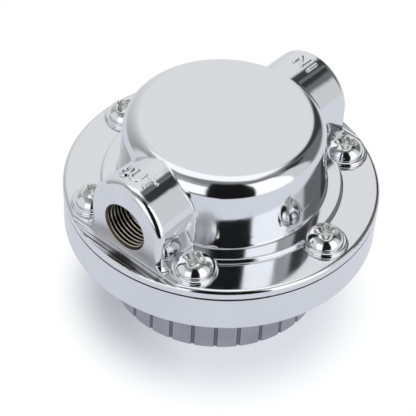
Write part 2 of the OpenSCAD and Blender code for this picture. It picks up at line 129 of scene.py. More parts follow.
def unpolished_metal(name, colour, roughness, grain_mm):
    """Metal left as it was cast, stamped or punched: an even fine grain and a soft sheen."""
    finish, tree, out = new_finish(name)
    place = add(tree, "TexCoord").outputs["Object"]
    grain = add(tree, "TexNoise", values={"Scale": 1 / (grain_mm * MM), "Detail": 4.0},
                links={"Vector": place})
    cloud = add(tree, "TexNoise", values={"Scale": 1 / (6 * MM), "Detail": 2.0}, links={"Vector": place})
    tone = add(tree, "MixRGB", {"blend_type": "MULTIPLY"}, {"Fac": 0.18, "Color1": linear(colour)},
               {"Color2": cloud.outputs["Fac"]})
    edge = add(tree, "Bevel", {"samples": 4}, {"Radius": 0.15 * MM})
    bump = add(tree, "Bump", values={"Strength": 0.5, "Distance": 0.02 * MM},
               links={"Height": grain.outputs["Fac"], "Normal": edge.outputs["Normal"]})
    shader = add(tree, "BsdfPrincipled", values={"Metallic": 1.0, "Roughness": roughness},
                 links={"Base Color": tone.outputs["Color"], "Normal": bump.outputs["Normal"]})
    tree.links.new(shader.outputs[0], out.inputs["Surface"])
    return finish


band_chrome = chrome_plate("bright_chrome_on_band", "#E6E8EC", 0.10, 14, 0.02, 0.2)
bare_casting = unpolished_metal("as_cast_zinc", "#A9ACB2", 0.45, 0.3)

# How far in from their outsides the chrome of the band and of the drum is told from the bare casting, and
# how far outwards a face of the drum has to look
BAND_R, BAND_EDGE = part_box("lower_housing")[1].x / MM, 2.0
DRUM_R, DRUM_EDGE = 30.0, 1.0
OUTWARD = 0.5


def band_or_casting(centre, normal):
    """Chrome on the band and the drum's outside, bare casting on the underside and inside the bowl."""
    radius = math.hypot(centre.x, centre.y)
    on_drum = normal.x * centre.x + normal.y * centre.y > OUTWARD * radius and radius > DRUM_R - DRUM_EDGE
    return 0 if on_drum or radius > BAND_R - BAND_EDGE else 1


dress("lower_housing", band_chrome, bare_casting, choose=band_or_casting)


# Lead screw, thrust washer, stop pin and detent
# The steel lead screw is turned from bar and runs on a nylon washer in the housing's neck. A ball on a
# small spring clicks in the dial's dimples, and a steel pin pressed into the floor stops the dial.

# Distance between the bands of a wave texture whose scale is 1
WAVE_PERIOD = math.pi / 10


def turned_metal(name, colour, roughness, groove_mm):
    """Bar turned on a lathe: fine rings from the tool, which stretch the highlights round the axis."""
    finish, tree, out = new_finish(name)
    place = add(tree, "TexCoord").outputs["Object"]
    rings = add(tree, "TexWave", {"wave_type": "BANDS", "bands_direction": "Z"},
                {"Scale": WAVE_PERIOD / (groove_mm * MM), "Distortion": 0.6, "Detail": 2.0},
                {"Vector": place})
    stain = add(tree, "TexNoise", values={"Scale": 1 / (2 * MM), "Detail": 3.0}, links={"Vector": place})
    tone = add(tree, "MixRGB", {"blend_type": "MULTIPLY"}, {"Fac": 0.2, "Color1": linear(colour)},
               {"Color2": stain.outputs["Fac"]})
    bump = add(tree, "Bump", values={"Strength": 0.4, "Distance": 0.01 * MM},
               links={"Height": rings.outputs["Fac"]})
    shader = add(tree, "BsdfPrincipled", values={"Metallic": 1.0, "Roughness": roughness},
                 links={"Base Color": tone.outputs["Color"], "Normal": bump.outputs["Normal"]})
    tree.links.new(shader.outputs[0], out.inputs["Surface"])
    return finish


def moulded_plastic(name, colour, roughness):
    """Moulded engineering plastic: waxy gloss with the fine texture of the tool."""
    finish, tree, out = new_finish(name)
    place = add(tree, "TexCoord").outputs["Object"]
    texture = add(tree, "TexNoise", values={"Scale": 1 / (0.25 * MM), "Detail": 2.0}, links={"Vector": place})
    flow = add(tree, "TexNoise", values={"Scale": 1 / (4 * MM), "Detail": 2.0}, links={"Vector": place})
    tone = add(tree, "MixRGB", {"blend_type": "MULTIPLY"}, {"Fac": 0.12, "Color1": linear(colour)},
               {"Color2": flow.outputs["Fac"]})
    bump = add(tree, "Bump", values={"Strength": 0.3, "Distance": 0.01 * MM},
               links={"Height": texture.outputs["Fac"]})
    shader = add(tree, "BsdfPrincipled",
                 values={"Roughness": roughness, "IOR": 1.48, "Subsurface Weight": 0.1,
                         "Subsurface Radius": (0.6 * MM, 0.6 * MM, 0.5 * MM)},
                 links={"Base Color": tone.outputs["Color"], "Normal": bump.outputs["Normal"]})
    tree.links.new(shader.outputs[0], out.inputs["Surface"])
    return finish


def drawn_wire(name, colour):
    """Spring wire drawn through a die: bright, with fine specks where the gloss is duller."""
    finish, tree, out = new_finish(name)
    place = add(tree, "TexCoord").outputs["Object"]
    specks = add(tree, "TexNoise", values={"Scale": 1 / (0.15 * MM), "Detail": 3.0}, links={"Vector": place})
    gloss = add(tree, "MapRange", values={"To Min": 0.2, "To Max": 0.42},
                links={"Value": specks.outputs["Fac"]})
    shader = add(tree, "BsdfPrincipled", values={"Base Color": linear(colour), "Metallic": 1.0},
                 links={"Roughness": gloss.outputs["Result"]})
    tree.links.new(shader.outputs[0], out.inputs["Surface"])
    return finish


turned_steel = turned_metal("turned_steel", "#B4B6BA", 0.28, 0.25)
ground_steel = turned_metal("ground_steel", "#C6C8CC", 0.14, 0.12)
nylon = moulded_plastic("natural_nylon", "#E4DFCF", 0.42)
spring_steel = drawn_wire("drawn_spring_steel", "#B0B2B6")

dress("lead_screw", turned_steel)
dress("stop_pin", ground_steel)
dress("detent_ball", ground_steel)
dress("thrust_washer", nylon)


def add_mesh(name, points, faces, finish, smooth=True):
    """A mesh object in the frame of the CAD model, from points in millimetres."""
    mesh = bpy.data.meshes.new(name)
    mesh.from_pydata([tuple(c * MM for c in p) for p in points], [], faces)
    mesh.materials.append(finish)
    for face in mesh.polygons:
        face.use_smooth = smooth
    mesh.validate()
    made = bpy.data.objects.new(name, mesh)
    bpy.context.scene.collection.objects.link(made)
    return made


def coil_spring(name, stands_for, wire_r, turns, around, start=0.0, end=1.0, sides=14, steps=48):
    """A round wire wound up the solid that it stands for, from one share of its height to another."""
    low, high = (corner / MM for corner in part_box(stands_for))
    mean_r = high.x - around - wire_r
    count = math.ceil(turns * (end - start) * steps)
    rise = high.z - low.z - 2 * wire_r
    points = []
    for i in range(count + 1):
        up_coil = start + (end - start) * i / count
        angle = 2 * math.pi * turns * up_coil
        for j in range(sides):
            around_wire = 2 * math.pi * j / sides
            radius = mean_r + wire_r * math.cos(around_wire)
            points.append((around + radius * math.cos(angle), radius * math.sin(angle),
                           low.z + wire_r + rise * up_coil + wire_r * math.sin(around_wire)))
    faces = [(a + j, a + sides + j, a + sides + (j + 1) % sides, a + (j + 1) % sides)
             for a in range(0, count * sides, sides) for j in range(sides)]
    faces.append(tuple(range(sides)))
    faces.append(tuple(count * sides + j for j in reversed(range(sides))))
    spring = add_mesh(name, points, faces, spring_steel)
    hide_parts(stands_for)
    return spring


DETENT_R = 20.0
DETENT_WIRE = 0.2
DETENT_TURNS = 5
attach(coil_spring("detent_coil", "detent_spring", DETENT_WIRE, DETENT_TURNS, DETENT_R), "housing")


# Dial
# A zinc casting with a ribbed rim, pushed on the lead screw's two flats and held by one screw. It has a
# satin plate, and its recessed face carries raised figures and marks for the six settings.

DIAL_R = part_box("dial_knob")[1].x / MM
# Middle of the grooves between the ribs, in from the rim, and how far the painted shade reaches on either
# side of it
GROOVE_MIDDLE, GROOVE_REACH = 0.3, 0.22


def satin_plate(name, colour):
    """Satin nickel over blasted zinc: no clear reflections, a soft blue-grey sheen, painted shade in the
    grooves of the rim, and a tooth that is drawn coarser than the real one, so that it shows."""
    finish, tree, out = new_finish(name)
    place = add(tree, "TexCoord").outputs["Object"]
    tooth = add(tree, "TexNoise", values={"Scale": 1 / (0.35 * MM), "Detail": 3.0}, links={"Vector": place})
    cloud = add(tree, "TexNoise", values={"Scale": 1 / (7 * MM), "Detail": 2.0}, links={"Vector": place})
    shade = add(tree, "MapRange", values={"From Min": 0.35, "From Max": 0.65, "To Min": 0.88, "To Max": 1.0},
                links={"Value": cloud.outputs["Fac"]})
    tone = add(tree, "MixRGB", {"blend_type": "MULTIPLY"}, {"Fac": 1.0, "Color1": linear(colour)},
               {"Color2": shade.outputs["Result"]})
    flat = add(tree, "VectorMath", {"operation": "MULTIPLY"}, {1: (1, 1, 0)}, {0: place})
    radius = add(tree, "VectorMath", {"operation": "LENGTH"}, links={0: flat.outputs[0]})
    in_groove = add(tree, "Math", {"operation": "COMPARE"},
                    {1: (DIAL_R - GROOVE_MIDDLE) * MM, 2: GROOVE_REACH * MM}, {0: radius.outputs["Value"]})
    # Painted shade: the colour is darkened in the grooves of the rim
    groove_shade = add(tree, "MixRGB", {"blend_type": "MULTIPLY"}, {"Color2": linear("#B9BDC2")},
                {"Fac": in_groove.outputs[0], "Color1": tone.outputs["Color"]})
    edge = add(tree, "Bevel", {"samples": 6}, {"Radius": 0.26 * MM})
    bump = add(tree, "Bump", values={"Strength": 0.35, "Distance": 0.02 * MM},
               links={"Height": tooth.outputs["Fac"], "Normal": edge.outputs["Normal"]})
    shader = add(tree, "BsdfPrincipled", values={"Metallic": 1.0, "Roughness": 0.42},
                 links={"Base Color": groove_shade.outputs["Color"], "Normal": bump.outputs["Normal"]})
    tree.links.new(shader.outputs[0], out.inputs["Surface"])
    return finish


satin_nickel = satin_plate("satin_nickel_plate", "#B1B3BA")
dress("dial_knob", satin_nickel)


def zinc_plate(name):
    """Bright zinc on a cold-headed screw: clear but slightly milky reflections with a cool tint."""
    finish, tree, out = new_finish(name)
    place = add(tree, "TexCoord").outputs["Object"]
    film = add(tree, "TexNoise", values={"Scale": 1 / (1.5 * MM), "Detail": 3.0}, links={"Vector": place})
    gloss = add(tree, "MapRange", values={"To Min": 0.06, "To Max": 0.16},
                links={"Value": film.outputs["Fac"]})
    edge = add(tree, "Bevel", {"samples": 6}, {"Radius": 0.18 * MM})
    shader = add(tree, "BsdfPrincipled", values={"Base Color": linear("#F0F1F3"), "Metallic": 1.0},
                 links={"Roughness": gloss.outputs["Result"], "Normal": edge.outputs["Normal"]})
    tree.links.new(shader.outputs[0], out.inputs["Surface"])
    return finish


bright_zinc = zinc_plate("bright_zinc_plate")
dress("knob_screw", bright_zinc)


def arc(centre_u, centre_v, radius_u, radius_v, start, end, steps=14):
    """Points along an elliptical arc, with its angles in degrees."""
    angles = [math.radians(start + (end - start) * i / steps) for i in range(steps + 1)]
    return [(centre_u + radius_u * math.cos(a), centre_v + radius_v * math.sin(a)) for a in angles]


def straight(start, end, steps=8):
    """Points along a straight stroke."""
    return [(start[0] + (end[0] - start[0]) * i / steps, start[1] + (end[1] - start[1]) * i / steps)
            for i in range(steps + 1)]


# Each sign is drawn as strokes on a grid that is 2 wide and 2.7 high, with its middle at the origin
GLYPHS = {
    "O": [arc(0, 0, 1.0, 1.35, 90, 450, 32)],
    "U": [straight((-1, 1.35), (-1, -0.35)) + arc(0, -0.35, 1, 1, 180, 360)[1:-1]
          + straight((1, -0.35), (1, 1.35))],
    "T": [straight((-1.15, 1.35), (1.15, 1.35)), straight((0, 1.35), (0, -1.35))],
    "I": [straight((0, 1.35), (0, -1.35))],
    "N": [straight((-1, -1.35), (-1, 1.35)), straight((-1, 1.35), (1, -1.35)),
          straight((1, -1.35), (1, 1.35))],
    "1": [straight((-0.55, 0.85), (0, 1.35)), straight((0, 1.35), (0, -1.35))],
    "2": [arc(0, 0.5, 0.85, 0.85, 170, -40), straight((0.65, -0.05), (-0.9, -1.35)),
          straight((-0.9, -1.35), (0.95, -1.35))],
    "3": [arc(0, 0.68, 0.8, 0.67, 160, -90), arc(0, -0.66, 0.9, 0.69, 90, -160)],
    "4": [straight((0.4, 1.35), (-0.95, -0.5)), straight((-0.95, -0.5), (1.0, -0.5)),
          straight((0.4, 1.35), (0.4, -1.35))],
    "5": [straight((0.8, 1.35), (-0.65, 1.35)), straight((-0.65, 1.35), (-0.75, 0.1)),
          arc(0, -0.45, 0.9, 0.9, 140, -150)],
    "6": [arc(0, -0.5, 0.88, 0.85, 90, 450, 28), arc(0.75, -0.4, 1.62, 1.75, 180, 110)],
}


def face_outwards(made):
    """Turns a closed mesh's faces round if they point inwards, by the sign of its volume."""
    mesh = made.data
    mesh.calc_loop_triangles()
    at = [corner.co for corner in mesh.vertices]
    if sum(at[a].dot(at[b].cross(at[c])) for a, b, c in (t.vertices for t in mesh.loop_triangles)) < 0:
        mesh.flip_normals()


# How far a stroke is sunk into what it stands on, and how full its rounded back is: 1 is a half circle
STROKE_SINK = 0.15
STROKE_BACK = 0.7


def raised_strokes(name, strokes, width, height, place, finish, sides=8, caps=5):
    """Strokes with a rounded back and round ends; place maps across, up and out to a point in space."""
    turns = [math.pi * j / sides for j in range(sides + 1)]
    profile = [(-1, -STROKE_SINK / height)]
    profile += [(-math.cos(a), math.sin(a) ** STROKE_BACK) for a in turns]
    profile += [(1, -STROKE_SINK / height)]
    points, faces = [], []
    for stroke in strokes:
        closed = math.dist(stroke[0], stroke[-1]) < 1e-6
        line = np.array(stroke[:-1] if closed else stroke)
        ahead = np.roll(line, -1, 0) if closed else np.vstack([line[1:], 2 * line[-1:] - line[-2:-1]])
        behind = np.roll(line, 1, 0) if closed else np.vstack([2 * line[:1] - line[1:2], line[:-1]])
        along = (ahead - behind) / np.linalg.norm(ahead - behind, axis=1)[:, None]
        rings = [(p, t, 1.0) for p, t in zip(line, along)]
        if not closed:
            bends = [math.pi / 2 * k / caps for k in range(1, caps)]
            (start, start_way, _), (end, end_way, _) = rings[0], rings[-1]
            head = [(start - start_way * width / 2 * math.sin(a), start_way, math.cos(a)) for a in bends]
            tail = [(end + end_way * width / 2 * math.sin(a), end_way, math.cos(a)) for a in bends]
            rings = head[::-1] + rings + tail
        first, ring_size = len(points), len(profile)
        for point, tangent, size in rings:
            side = np.array((-tangent[1], tangent[0])) * width / 2 * size
            for offset, lift in profile:
                u, v = point + side * offset
                points.append(place(u, v, height * lift * (size if lift > 0 else 1)))
        count = len(rings)
        for i in range(count if closed else count - 1):
            a, b = first + i * ring_size, first + (i + 1) % count * ring_size
            faces += [(a + j, b + j, b + (j + 1) % ring_size, a + (j + 1) % ring_size)
                      for j in range(ring_size)]
        if not closed:
            faces.append(tuple(first + j for j in range(ring_size)))
            faces.append(tuple(first + (count - 1) * ring_size + j for j in reversed(range(ring_size))))
    made = add_mesh(name, points, faces, finish)
    face_outwards(made)
    return made


FACE_DEPTH = 1.2
FIGURE_RING, FIGURE_WIDTH, FIGURE_RELIEF = 17.5, 0.75, 0.5
MARK_RING, MARK_WIDTH, MARK_RELIEF = 22.4, 0.7, 0.45
LONG_MARK, SHORT_MARK = 3.2, 1.6
SETTINGS = 6
DIAL_TURN = 300


def on_dial(angle, ring):
    """Where a sign stands on the dial's face, which looks down: upright is outwards from the axis."""
    out = (math.cos(angle), math.sin(angle))

    def place(u, v, h):
        return (out[0] * (ring + v) - out[1] * u, out[1] * (ring + v) + out[0] * u, FACE_DEPTH - h)
    return place


for i in range(2 * SETTINGS - 1):
    turn = math.radians(DIAL_TURN * i / (2 * SETTINGS - 2))
    at_figure = i % 2 == 0
    length = LONG_MARK if at_figure else SHORT_MARK
    mark = raised_strokes(f"dial_mark_{i + 1}", [straight((0, LONG_MARK / 2 - length), (0, LONG_MARK / 2))],
                          MARK_WIDTH, MARK_RELIEF, on_dial(turn, MARK_RING), satin_nickel)
    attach(mark, "dial")
    if at_figure:
        figure = raised_strokes(f"dial_figure_{i // 2 + 1}", GLYPHS[str(i // 2 + 1)],
                                FIGURE_WIDTH, FIGURE_RELIEF, on_dial(turn, FIGURE_RING), satin_nickel)
        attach(figure, "dial")


# Spring cup and main spring
# The moulded cup is a nut on the lead screw, kept from turning by its ears, and it lifts the main
# spring. The spring is wound from hard-drawn wire and presses on the diaphragm's plate.

MAIN_WIRE = 0.9
MAIN_TURNS = 3.4
CUP_LIFT = 4.0
DIAPHRAGM_STROKE = 0.78

acetal = moulded_plastic("natural_acetal", "#EDE9DF", 0.36)
dress("spring_cup", acetal)

# The spring is drawn as two coils, split at the cup's share of its lift and the diaphragm's stroke together
split = CUP_LIFT / (CUP_LIFT + DIAPHRAGM_STROKE)
coil_low, coil_high = (corner.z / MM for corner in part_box("main_spring"))
split_z = coil_low + MAIN_WIRE + (coil_high - coil_low - 2 * MAIN_WIRE) * split
for name, start, end, joint, travel, length in (
        ("main_coil_low", 0.0, split, "cup_lift", CUP_LIFT, split_z - coil_low),
        ("main_coil_high", split, 1.0, "diaphragm_stroke", DIAPHRAGM_STROKE, coil_high - split_z)):
    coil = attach(coil_spring(name, "main_spring", MAIN_WIRE, MAIN_TURNS, 0.0, start, end), "housing")
    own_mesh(coil)


# Diaphragm and its plates
# Nitrile rubber on woven nylon, cut with six holes and clamped by the housings, so only its dark edge
# shows. Two stamped and zinc-plated steel plates back it, held by a brass rivet.


def moulded_rubber(name, colour, weave_mm):
    """Black nitrile: matt, with the print of the fabric that it was cured on."""
    finish, tree, out = new_finish(name)
    place = add(tree, "TexCoord").outputs["Object"]
    threads = [add(tree, "TexWave", {"wave_type": "BANDS", "bands_direction": axis},
                   {"Scale": WAVE_PERIOD / (weave_mm * MM), "Distortion": 0.4}, {"Vector": place})
               for axis in "XY"]
    weave = add(tree, "Math", {"operation": "MULTIPLY"},
                links={0: threads[0].outputs["Fac"], 1: threads[1].outputs["Fac"]})
    dust = add(tree, "TexNoise", values={"Scale": 1 / (3 * MM), "Detail": 3.0}, links={"Vector": place})
    worn = add(tree, "MapRange", values={"To Min": 0.5, "To Max": 0.75}, links={"Value": dust.outputs["Fac"]})
    bump = add(tree, "Bump", values={"Strength": 0.4, "Distance": 0.03 * MM},
               links={"Height": weave.outputs[0]})
    shader = add(tree, "BsdfPrincipled", values={"Base Color": linear(colour)},
                 links={"Roughness": worn.outputs["Result"], "Normal": bump.outputs["Normal"]})
    tree.links.new(shader.outputs[0], out.inputs["Surface"])
    return finish


nitrile = moulded_rubber("black_nitrile_on_nylon", "#1B1C1F", 0.5)
seal_nitrile = moulded_rubber("moulded_nitrile", "#202124", 0.2)
stamped_steel = unpolished_metal("zinc_plated_stamped_steel", "#C3C6C9", 0.3, 0.5)
brass = turned_metal("turned_brass", "#D6B266", 0.22, 0.2)

dress("diaphragm_washer", stamped_steel)
dress("spring_plate", stamped_steel)
dress("diaphragm_rivet", brass)

# Where the rubber is cut and the gap that is left at the cut, then how close corners have to be for
# welding, and the angle in radians from which an edge is sharp
FOLD_R = 22.93
CUT_GAP = 0.02
WELD = 0.001
SHARP_CORNER = 0.6


def diaphragm_part(name, clamped, body):
    """The rubber outside or inside the bottom of its fold, cut from its solid and closed at the cut."""
    rubber = bmesh.new()
    rubber.from_mesh(frame["nodes"]["diaphragm"].data)
    bmesh.ops.remove_doubles(rubber, verts=rubber.verts, dist=WELD * MM)
    away = [face for face in rubber.faces if (face.calc_center_median().xy.length > FOLD_R * MM) != clamped]
    bmesh.ops.delete(rubber, geom=away, context="FACES")
    cut = [edge for edge in rubber.edges if edge.is_boundary]
    if not clamped:
        for corner in {corner for edge in cut for corner in edge.verts}:
            corner.co.xy = corner.co.xy * (1 - CUT_GAP / FOLD_R)
    bmesh.ops.bridge_loops(rubber, edges=cut)
    for edge in rubber.edges:
        edge.smooth = edge.calc_face_angle(0.0) < SHARP_CORNER
    made = add_mesh(name, [], [], nitrile)
    rubber.to_mesh(made.data)
    rubber.free()
    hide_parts("diaphragm")
    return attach(made, body)


# The rim stays with the housing, and the middle, with the inner half of the fold, goes with the diaphragm's
# centre
diaphragm_part("diaphragm_rim", True, "housing")
middle = diaphragm_part("diaphragm_middle", False, "diaphragm_centre")
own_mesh(middle)


# Inlet valve
# A brass seat pressed up into the housing and sealed by a ring, and a brass poppet with a rubber face,
# which a light spring of drawn wire pushes down onto it.

VALVE_WIRE = 0.25
VALVE_TURNS = 5

dress("valve_seat", brass)
dress("valve_poppet", brass)
dress("seat_ring", seal_nitrile)
dress("valve_face", seal_nitrile)
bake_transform(coil_spring("valve_coil", "valve_spring", VALVE_WIRE, VALVE_TURNS, 0.0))


# Upper housing
# A zinc die casting with the cap, both ports, the flange, the land and the screw pads in one piece,
# polished all over and chromed. The port faces and the flats before them are milled before plating.

PORT = {mount["name"]: mount for mount in frame["record"]["mounts"]}["port_in"]
PORT_FACE = PORT["pos_m"][0] / MM
PORT_Z = PORT["pos_m"][2] / MM
PORT_R = PORT["dims"]["r_mm"]
PORT_DEPTH = PORT["dims"]["length_mm"]
UNDERSIDE_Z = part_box("upper_housing")[0].z / MM
CHAMBER_R = 25.3
MILL_Z = 32.5


def milled_chrome(name, line_mm, streak_mm):
    """Chrome over a milled flat: the cutter's parallel grooves in the bump, and a painted reflection along
    the cut, dark and bright streaks for the sides of the room that they mirror by turns. They are drawn
    coarser than real ones, so they show."""
    finish, tree, out = new_finish(name)
    place = add(tree, "TexCoord").outputs["Object"]
    across = add(tree, "Mapping",
                 values={"Scale": [1 / (size * MM) for size in (line_mm, streak_mm, streak_mm)]},
                 links={"Vector": place})
    lines = add(tree, "TexNoise", values={"Scale": 1.0, "Detail": 2.0, "Roughness": 0.7},
                links={"Vector": across.outputs["Vector"]})
    painted_streaks = add(tree, "MapRange", values={"From Min": 0.36, "From Max": 0.54},
                 links={"Value": lines.outputs["Fac"]})
    # Painted reflection: the colour swings between dark and bright along the cut
    tone = add(tree, "MixRGB", values={"Color1": linear("#5C5E64"), "Color2": linear("#F4F5F8")},
               links={"Fac": painted_streaks.outputs["Result"]})
    edge = add(tree, "Bevel", {"samples": 6}, {"Radius": 0.25 * MM})
    bump = add(tree, "Bump", values={"Distance": 0.08 * MM},
               links={"Height": lines.outputs["Fac"], "Normal": edge.outputs["Normal"]})
    shader = add(tree, "BsdfPrincipled", values={"Metallic": 1.0, "Roughness": 0.2},
                 links={"Base Color": tone.outputs["Color"], "Normal": bump.outputs["Normal"]})
    tree.links.new(shader.outputs[0], out.inputs["Surface"])
    return finish


cap_chrome = chrome_plate("bright_chrome_on_cap", "#E8EAEE", 0.085, 11, 0.012, 0.65)
face_chrome = chrome_plate("satin_chrome_on_port_face", "#ECEEF2", 0.36, 6, 0.01, 0.2)
mill_chrome = milled_chrome("chrome_over_milled_flat", 0.42, 45)


def within(tree, edges):
    """How far a place lies inside all its edges, each given as a value, where it starts to count and where
    it counts in full."""
    steps = [add(tree, "MapRange", {"interpolation_type": "SMOOTHSTEP"},
                 {"From Min": start, "From Max": full}, {"Value": value}).outputs["Result"]
             for value, start, full in edges]
    share = steps[0]
    for step in steps[1:]:
        share = add(tree, "Math", {"operation": "MULTIPLY"}, links={0: share, 1: step}).outputs[0]
    return share


# The plating current hardly reaches the corners between the cap and the bosses, so the chrome there is milky.
# Each pair is where that starts and where it is full: out from the ports' axis, and up from the table.
CORNER_BESIDE = ((17.0, 13.0), (11.6, 12.0))
CORNER_HEIGHT = ((48.0, 41.0), (34.2, 35.0))
CORNER_ROUGHNESS = 0.42

tree = cap_chrome.node_tree
shader = [made for made in tree.nodes if made.type == "BSDF_PRINCIPLED"][0]
polish = shader.inputs["Roughness"].links[0].from_socket
spot = add(tree, "SeparateXYZ", links={0: add(tree, "TexCoord").outputs["Object"]}).outputs
beside = add(tree, "Math", {"operation": "ABSOLUTE"}, links={0: spot["Y"]}).outputs[0]
milky = within(tree, [(value, start * MM, full * MM)
                      for value, pairs in ((beside, CORNER_BESIDE), (spot["Z"], CORNER_HEIGHT))
                      for start, full in pairs])
dulled = add(tree, "Mix", {"data_type": "FLOAT"}, {"B": CORNER_ROUGHNESS}, {"Factor": milky, "A": polish})
tree.links.new(dulled.outputs["Result"], shader.inputs["Roughness"])


# Limits that tell the faces apart: the middle of the cap's wall, the roof inside it, the valve guide's end,
# how nearly a face looks along the ports or upwards, and how close it is to a plane that it lies on
WALL_R, ROOF_Z, GUIDE_Z = 23.3, 48.6, 51.6
ALONG_PORT, UPWARD = 0.95, 0.99
CLOSE = 0.1


def cap_finish(centre, normal):
    """Milled port faces and flats before them, bare casting inside and underneath, polished chrome
    elsewhere."""
    radius = math.hypot(centre.x, centre.y)
    reach = abs(centre.x)
    if reach > PORT_FACE - CLOSE / 2 and abs(normal.x) > ALONG_PORT and centre.z > MILL_Z:
        return 3
    if reach > PORT_FACE and abs(centre.z - MILL_Z) < CLOSE:
        return 1
    bore_end = PORT_FACE - PORT_DEPTH
    in_bore = reach > bore_end - CLOSE and math.hypot(centre.y, centre.z - PORT_Z) < PORT_R + CLOSE
    under = centre.z < UNDERSIDE_Z + CLOSE / 2 or radius < CHAMBER_R and centre.z < MILL_Z
    inside = radius < WALL_R and centre.z < GUIDE_Z and reach < bore_end
    inward = normal.x * centre.x + normal.y * centre.y < 0
    hidden = inside and normal.z < UPWARD and (inward or centre.z < ROOF_Z)
    return 2 if under or hidden or in_bore else 0


dress("upper_housing", cap_chrome, mill_chrome, bare_casting, face_chrome, choose=cap_finish)


# Port threads
# Each port is tapped with a pipe thread that cuts into the casting. Its crests carry a painted highlight,
# its flanks and roots painted shade with some stain, and the mouth is stained a little brown.

THREAD_PITCH = 1.06
THREAD_DEPTH = 0.62
THREAD_TAPER = 1 / 32
# Shares of half a pitch: the flat at the root and the flank beside it, with what is left as the crest
ROOT_FLAT, FLANK = 0.1, 0.78
# Depths in the hole: where the thread's ring begins, what it leaves at the bottom, and how the cut runs in
RING_START, RING_LEAVES = 0.15, 0.4
CUT_START, CUT_RUN_IN = 0.2, 0.5
# The ring's clearance in the hole and its thickness at the roots
RING_FIT, RING_SKIN = 0.01, 0.04
# Distances out from the crests between which the painted highlight fades, then depths between which the
# stain at the mouth does
SHINE_ENDS, SHINE_FULL = 0.26, 0.06
STAIN_ENDS, STAIN_FULL = 0.5, 0.25
THREAD_SIDES = 96
THREAD_STEPS = 14


def tapped_thread(name):
    """Cut thread in a plated casting: a painted highlight on the crests, painted shade and stain on flanks
    and roots.
    """
    finish, tree, out = new_finish(name)
    place = add(tree, "TexCoord").outputs["Object"]
    stain = add(tree, "TexNoise", values={"Scale": 1 / (2.5 * MM), "Detail": 3.0}, links={"Vector": place})
    from_axis = add(tree, "VectorMath", {"operation": "SUBTRACT"}, {1: (0, 0, PORT_Z * MM)}, {0: place})
    across = add(tree, "VectorMath", {"operation": "MULTIPLY"}, {1: (0, 1, 1)}, {0: from_axis.outputs[0]})
    radius = add(tree, "VectorMath", {"operation": "LENGTH"}, links={0: across.outputs[0]})
    along = add(tree, "SeparateXYZ", links={0: place})
    reach = add(tree, "Math", {"operation": "ABSOLUTE"}, links={0: along.outputs["X"]})
    taper = add(tree, "Math", {"operation": "MULTIPLY_ADD"},
                {1: -THREAD_TAPER, 2: PORT_FACE * MM * THREAD_TAPER}, {0: reach.outputs[0]})
    straight_radius = add(tree, "Math", {"operation": "ADD"},
                          links={0: radius.outputs["Value"], 1: taper.outputs[0]})
    crest_r = PORT_R - RING_FIT - RING_SKIN - THREAD_DEPTH
    # Painted highlight: the colour turns bright near the crests
    crest_highlight = add(tree, "MapRange", values={"From Min": (crest_r + SHINE_ENDS) * MM,
                                           "From Max": (crest_r + SHINE_FULL) * MM},
                 links={"Value": straight_radius.outputs[0]})
    # Painted shade: flanks and roots are nearly black, with stain noise between two darks
    root_shade_and_stain = add(tree, "MixRGB", values={"Color1": linear("#23201D"), "Color2": linear("#4A4038")},
               links={"Fac": stain.outputs["Fac"]})
    thread = add(tree, "MixRGB", values={"Color2": linear("#E6DCCD")},
                 links={"Fac": crest_highlight.outputs["Result"], "Color1": root_shade_and_stain.outputs["Color"]})
    mouth = add(tree, "MapRange", values={"From Min": (PORT_FACE - STAIN_ENDS) * MM,
                                          "From Max": (PORT_FACE - STAIN_FULL) * MM},
                links={"Value": reach.outputs[0]})
    tone = add(tree, "MixRGB", values={"Color2": linear("#85765F")},
               links={"Fac": mouth.outputs["Result"], "Color1": thread.outputs["Color"]})
    shader = add(tree, "BsdfPrincipled", values={"Metallic": 1.0, "Roughness": 0.3},
                 links={"Base Color": tone.outputs["Color"]})
    tree.links.new(shader.outputs[0], out.inputs["Surface"])
    return finish


cut_thread = tapped_thread("tapped_zinc_thread")


def thread_wave(phase):
    """Height of the thread's V at a phase of 0 to 1, with a narrow flat at its crest and its root."""
    climb = abs(2 * (phase % 1.0) - 1)
    return min(1.0, max(0.0, (climb - ROOT_FLAT) / FLANK))


def port_thread(name, side):
    """A closed ring that lines the hole, with its thread standing inwards and fading at the mouth."""
    length, wall_r = PORT_DEPTH - RING_LEAVES, PORT_R - RING_FIT
    rows = math.ceil(length / THREAD_PITCH * THREAD_STEPS)
    points, faces = [], []
    for i in range(rows + 1):
        depth = RING_START + length * i / rows
        fade = min(1.0, max(0.0, (depth - CUT_START) / CUT_RUN_IN))
        for j in range(THREAD_SIDES):
            angle = 2 * math.pi * j / THREAD_SIDES
            rib = THREAD_DEPTH * fade * thread_wave(depth / THREAD_PITCH - j / THREAD_SIDES)
            radius = wall_r - RING_SKIN - rib - depth * THREAD_TAPER
            points.append((side * (PORT_FACE - depth), side * radius * math.cos(angle),
                           PORT_Z + radius * math.sin(angle)))
    for depth in (RING_START + length, RING_START):
        for j in range(THREAD_SIDES):
            angle = 2 * math.pi * j / THREAD_SIDES
            points.append((side * (PORT_FACE - depth), side * wall_r * math.cos(angle),
                           PORT_Z + wall_r * math.sin(angle)))
    loops = rows + 3
    for i in range(loops):
        a, b = i * THREAD_SIDES, (i + 1) % loops * THREAD_SIDES
        faces += [(a + j, a + (j + 1) % THREAD_SIDES, b + (j + 1) % THREAD_SIDES, b + j)
                  for j in range(THREAD_SIDES)]
    made = add_mesh(name, points, faces, cut_thread)
    face_outwards(made)
    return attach(made, "housing")


for name, side in (("port_in_thread", 1), ("port_out_thread", -1)):
    port_thread(name, side)


# Cast words on the bosses
# The flow direction stands in raised letters on top of each boss, near its mouth, cast with the
# housing and chromed over, so the strokes are round-backed and mirror-bright.

